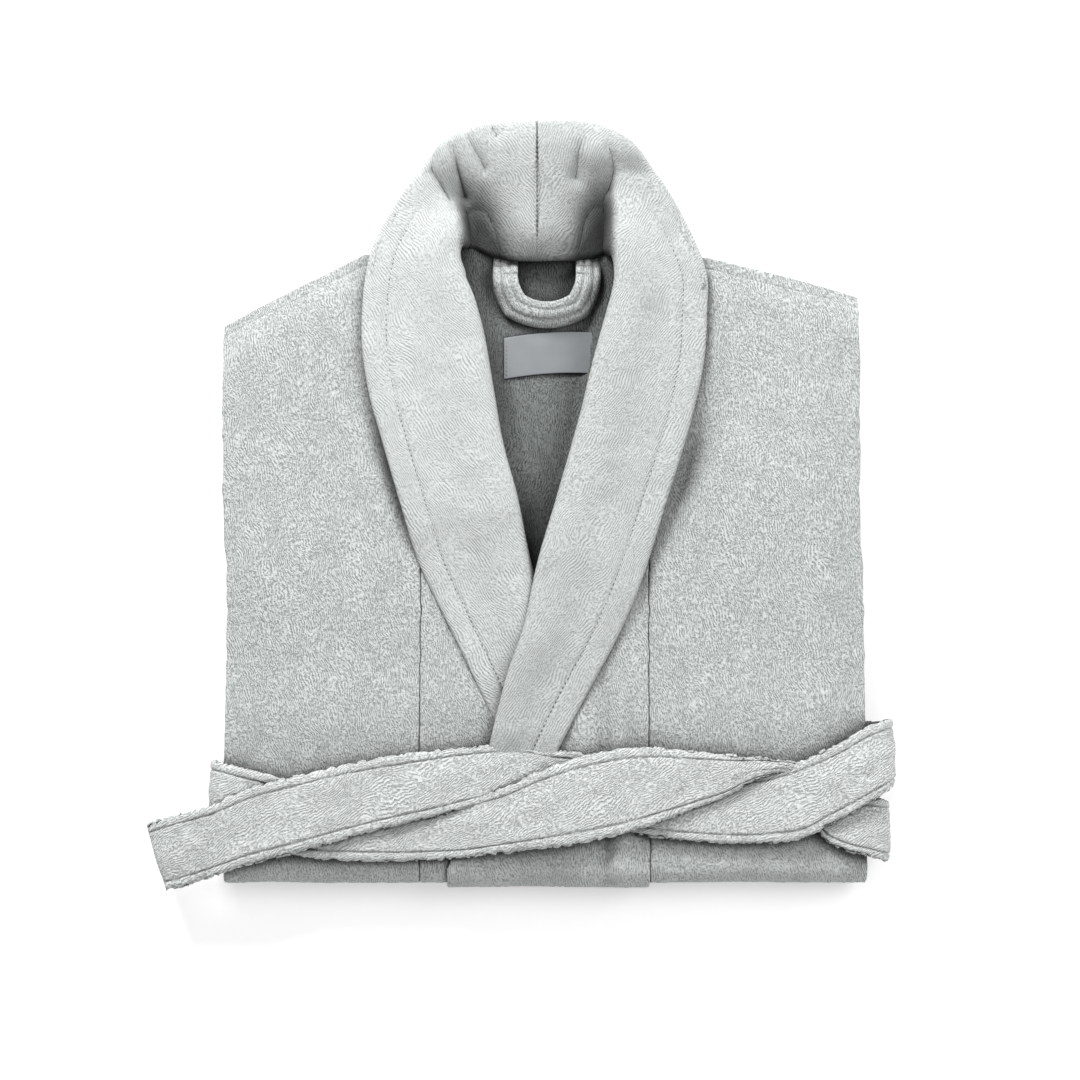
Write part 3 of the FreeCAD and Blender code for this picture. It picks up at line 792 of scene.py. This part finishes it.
# ----------------------------------------------------------- hanger loop and neck label
def make_hanger_loop():
    """A folded strap that stands a little on edge, with two stitched grooves."""
    low, high = corners("hanger_loop")
    centre = np.array([(low[0] + high[0]) / 2, high[1] - 2.0])
    eye, reach, strap_width = 24.0, 45.0, 18
    bow_steps, arm_steps, arm = 90, 6, np.linspace(9.5, 1.3, 6)
    turn = np.linspace(math.pi, 2 * math.pi, bow_steps)
    arms = np.concatenate([arm, np.zeros(bow_steps), arm[::-1]])
    turn = np.concatenate([np.full(arm_steps, math.pi), turn, np.full(arm_steps, 2 * math.pi)])
    v = spaced(strap_width, 0.9, 1.9) / strap_width
    radius = eye + (reach - eye) * v
    square = np.maximum(np.abs(np.cos(turn)), np.abs(np.sin(turn))) ** -0.22
    x = centre[0] + (square * np.cos(turn))[:, None] * radius[None, :] * 0.98
    y = centre[1] + (square * np.sin(turn))[:, None] * radius[None, :] * 0.93 + arms[:, None]
    bottom = np.clip(np.sin(turn - math.pi), 0, 1)[:, None] ** 0.5
    sunk = step(centre[1] - y, 2, 26)

    def section(rise):
        """Height across the strap, whose inner edge is higher by the rise."""
        return low[2] + 1.9 + rise * (1 - v ** 2.4)[None, :]

    def dive(y):
        """How far the strap's ends drop out of sight under the neck seam."""
        return 9.0 * step(y, high[1] + 1, high[1] + 10)

    z = section(3.0 + 9.0 * bottom) - 7.0 * sunk - dive(y) + 0.3 * noise(x, y, 12, 101)
    edge = np.minimum(v, 1 - v) * strap_width
    steps = np.arange(len(turn))
    ends = np.minimum(steps, steps[::-1]) * 1.2
    grooves = np.exp(-((v - 0.34) / 0.06) ** 2) + np.exp(-((v - 0.70) / 0.06) ** 2)
    strap = 1.9 * (rounded(edge, 1.9) * (1 - 0.6 * grooves))[None, :]
    half = strap * rounded(ends, 1.9)[:, None]
    shell = shell_arrays(np.stack([x, y, z], -1), half, 0.1, 102)
    loop = make_piece("hanger_loop_strap", [shell], terry)
    register(loop, "hanger_loop", "towelling", "hanger_loop")

    ends_high = corners("hanger_loop_ends")[1]
    shells = []
    for sign in (-1, 1):
        along = high[1] + 4.0 + spaced(ends_high[1] - high[1], 1.5, 1.8)
        xx = np.broadcast_to(centre[0] + sign * 0.98 * radius[None, :], (len(along), len(v)))
        yy = np.broadcast_to(along[:, None], xx.shape)
        ends = np.minimum(along - along[0], along[-1] - along)
        half = strap * rounded(ends, 1.8)[:, None]
        zz = section(3.0) - dive(yy) - 0.6
        shells.append(shell_arrays(np.stack([xx, yy, zz], -1), half, 0.08, 103))
    tucks = make_piece("hanger_loop_tucks", shells, terry)
    register(tucks, "robe", "towelling", "hanger_loop_ends")


def make_label():
    """A blank woven label, sewn down at its two short ends."""
    low, high = corners("neck_label")
    across = low[0] + spaced(high[0] - low[0], 1.2, 0.6)
    along = low[1] + spaced(high[1] - low[1], 1.2, 0.6)
    xx, yy = np.meshgrid(across, along)
    bow = np.sin((xx - low[0]) / (high[0] - low[0]) * math.pi)
    top = back_high[2] + 0.9 + lie(xx, yy)
    zz = top - 9.5 + 1.6 * bow + 0.25 * noise(xx, yy, 16, 111)
    yy = yy + 2.5 + 2.0 * bow + 0.06 * (xx - low[0])
    edge = np.minimum(across - across[0], across[-1] - across)
    ends = np.minimum(along - along[0], along[-1] - along)
    half = 0.45 * rounded(edge, 0.6)[None, :] * rounded(ends, 0.6)[:, None]
    shell = shell_arrays(np.stack([xx, yy, zz], -1), half)
    label = make_piece("neck_label_ribbon", [shell], satin)
    register(label, "robe", "label_satin", "neck_label")
    shells = []
    for x in (low[0] + 2.0, high[0] - 2.0):
        y = np.linspace(low[1] + 4, high[1] + 1, 40) + 0.06 * (x - low[0])
        z = back_high[2] - 7.9 + lie(np.full_like(y, x), y)
        shells += stitch_run(np.column_stack([np.full_like(y, x), y, z]), 3.4, 2.3, 0.32)
    stitches = make_piece("neck_label_stitches", shells, thread)
    register(stitches, "robe", "label_satin")


make_hanger_loop()
make_label()


# -------------------------------------------------------------------------------- the belt
# Stations along the belt: one edge, the other edge, each (x, y), and the height of both.
BELT_WIDTH = 53
STITCH_IN = 6.6                                 # from the belt's edges
OVER_STRAND = [
    ((-311, -189), (-294, -240), 35), ((-296, -184), (-280, -237), 39),
    ((-281, -180), (-264, -232), 43), ((-258, -174), (-246, -226), 49),
    ((-230, -162), (-224, -219), 52.5), ((-194, -152), (-186, -209), 52.5),
    ((-135, -139), (-127, -193), 52.5), ((-81, -131), (-76, -181), 52),
    ((-46, -127), (-46, -173), 50), ((-18, -126), (-20, -170), 46.5),
    ((15, -129), (12, -174), 45)]
LONG_STRAND = [
    ((-4, -128), (-4, -176), 45), ((45, -134), (45, -184), 45.5), ((74, -142), (74, -194), 46),
    ((130, -150), (130, -202), 46.5), ((180, -147), (182, -203), 47.5),
    ((208, -139), (212, -199), 50.5), ((225, -132), (230, -189), 52.5),
    ((242, -124), (247, -180), 53), ((260, -113), (264, -170), 51.5),
    ((275, -107), (278, -161), 45), ((281, -105), (282, -158), 34),
    ((281, -105), (282, -158), 18), ((277, -105), (277, -158), 8.5),
    ((262, -106), (262, -159), 6.2), ((120, -115), (120, -168), 6.0),
    ((0, -122), (0, -175), 6.0), ((-150, -131), (-150, -184), 6.0),
    ((-240, -137), (-240, -190), 6.2), ((-254, -138), (-254, -191), 8.5),
    ((-258, -138), (-258, -191), 18), ((-258, -138), (-258, -191), 32),
    ((-254, -139), (-253, -194), 42), ((-240, -143), (-238, -199), 45.5),
    ((-198, -153), (-196, -212), 46), ((-131, -163), (-130, -217), 46),
    ((-90, -167), (-85, -216), 46.5), ((-58, -168), (-55, -214), 48.5),
    ((-28, -161), (-24, -210), 51.5), ((2, -147), (5, -207), 53.5),
    ((42, -134), (34, -203), 54.5), ((83, -128), (74, -194), 54.5),
    ((118, -131), (114, -180), 53.5), ((155, -135), (147, -167), 52.5),
    ((185, -138), (176, -151), 51.5), ((204, -141), (198, -149), 49),
    ((216, -146), (212, -166), 46), ((228, -156), (226, -198), 45),
    ((246, -165), (243, -208), 45), ((264, -168), (262, -213), 43),
    ((274, -169), (272, -216), 38), ((278, -170), (277, -217), 30),
    ((278, -170), (277, -217), 20)]


def belt_strip(stations, seed):
    """A double strip with stitched, slightly ragged edges."""
    left = np.array([(*a, h) for a, b, h in stations], float)
    right = np.array([(*b, h) for a, b, h in stations], float)
    mid = (left + right) / 2
    knots = np.concatenate([[0], np.cumsum(np.linalg.norm(np.diff(mid, axis=0), axis=1))])
    length = knots[-1]
    count = int(length / 1.9)
    at = np.linspace(0, 1, count)
    first = smooth_through(left, knots / length, at)
    second = smooth_through(right, knots / length, at)
    v = spaced(BELT_WIDTH, 1.7, 2.4)
    near, far = STITCH_IN, BELT_WIDTH - STITCH_IN
    v = v[(np.abs(v - near) > 1.8) & (np.abs(v - far) > 1.8)]
    groove = np.array([-1.5, -0.7, -0.25, 0.25, 0.7, 1.5])
    v = np.sort(np.concatenate([v, near + groove, far + groove])) / BELT_WIDTH
    grid = first[:, None] + (second - first)[:, None] * v[None, :, None]
    s = (at * length)[:, None] + 0 * v[None, :]
    aside = v[None, :] * BELT_WIDTH
    edge_run = np.minimum(v, 1 - v)[None, :] * BELT_WIDTH
    ragged = 1.3 * noise(s, v[None, :] * 200, 2.6, seed) * np.exp(-(edge_run / 2.5) ** 2)
    heading = second - first
    heading /= np.linalg.norm(heading, axis=1, keepdims=True)
    grid = grid + ragged[..., None] * heading[:, None] * np.sign(v - 0.5)[None, :, None]
    crown = 1.1 * np.sin(v * math.pi)[None, :] + 0.8 * noise(s, aside, 34, seed + 1)
    crown = crown + 0.9 * noise(s * 0.22, aside, 11, seed + 2)
    crown = crown + 0.4 * noise(s, aside, 9, seed + 3)
    normal = np.cross(np.gradient(grid, axis=0), np.gradient(grid, axis=1))
    normal /= np.linalg.norm(normal, axis=2, keepdims=True) + 1e-9
    grid = grid - normal * crown[..., None] * 0.8
    ends = np.minimum(s, length - s)
    full = 2.7 * (1 - 0.48 * np.exp(-((edge_run - STITCH_IN) / 0.7) ** 2))
    half = full * rounded(edge_run, 2.4) * rounded(ends, 2.4)
    return shell_arrays(grid, half, pile=0.24, seed=seed), length


def make_belt():
    """The free end that lies on top, and the long strand that goes round the pack."""
    shell, length = belt_strip(OVER_STRAND, 121)
    over = make_piece("belt_free_end", [shell], belt_cloth)
    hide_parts("belt_tail")
    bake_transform(over)
    shell, length = belt_strip(LONG_STRAND, 131)
    wrap = make_piece("belt_wrap", [shell], belt_cloth)
    register(wrap, "belt", "belt_towelling", "belt")


make_belt()


# ------------------------------------------------------- sleeves, cuffs, pockets and loops
def plate(node, rim, seed=1, inset=0.0):
    """A soft plate that fills a node's box, with rounded rims; its inner side can draw in."""
    low, high = corners(node)
    across = low[0] + spaced(high[0] - low[0], COARSE, rim)
    along = low[1] + spaced(high[1] - low[1], COARSE, rim)
    xx, yy = np.meshgrid(across, along)
    inner, outer = (low[0], high[0]) if low[0] > 0 else (high[0], low[0])
    xx = outer + (xx - outer) * (1 - inset * step(yy, -50, 30) / abs(outer - inner))
    edge = np.minimum(across - across[0], across[-1] - across)
    ends = np.minimum(along - along[0], along[-1] - along)
    thick = (high[2] - low[2]) / 2
    half = thick * rounded(edge, rim)[None, :] * rounded(ends, rim)[:, None]
    zz = np.full_like(xx, (low[2] + high[2]) / 2)
    return shell_arrays(np.stack([xx, yy, zz], -1), half, 0.12, seed)


def make_small_parts():
    """Sleeves, cuffs, pockets and belt loops, which all lie inside the pack."""
    for k, side in enumerate(("right", "left")):
        for kind, rim, slot in (("sleeve", 3.9, "towelling"), ("cuff", 3.9, "velour_collar"),
                                ("pocket", 1.9, "towelling"), ("belt_loop", 2.9, "towelling")):
            node = f"{side}_{kind}"
            inset = 32.0 if kind == "sleeve" else 0.0
            piece = make_piece(f"{node}_cloth", [plate(node, rim, 141 + k, inset)], terry)
            register(piece, "robe", slot, node)


make_small_parts()
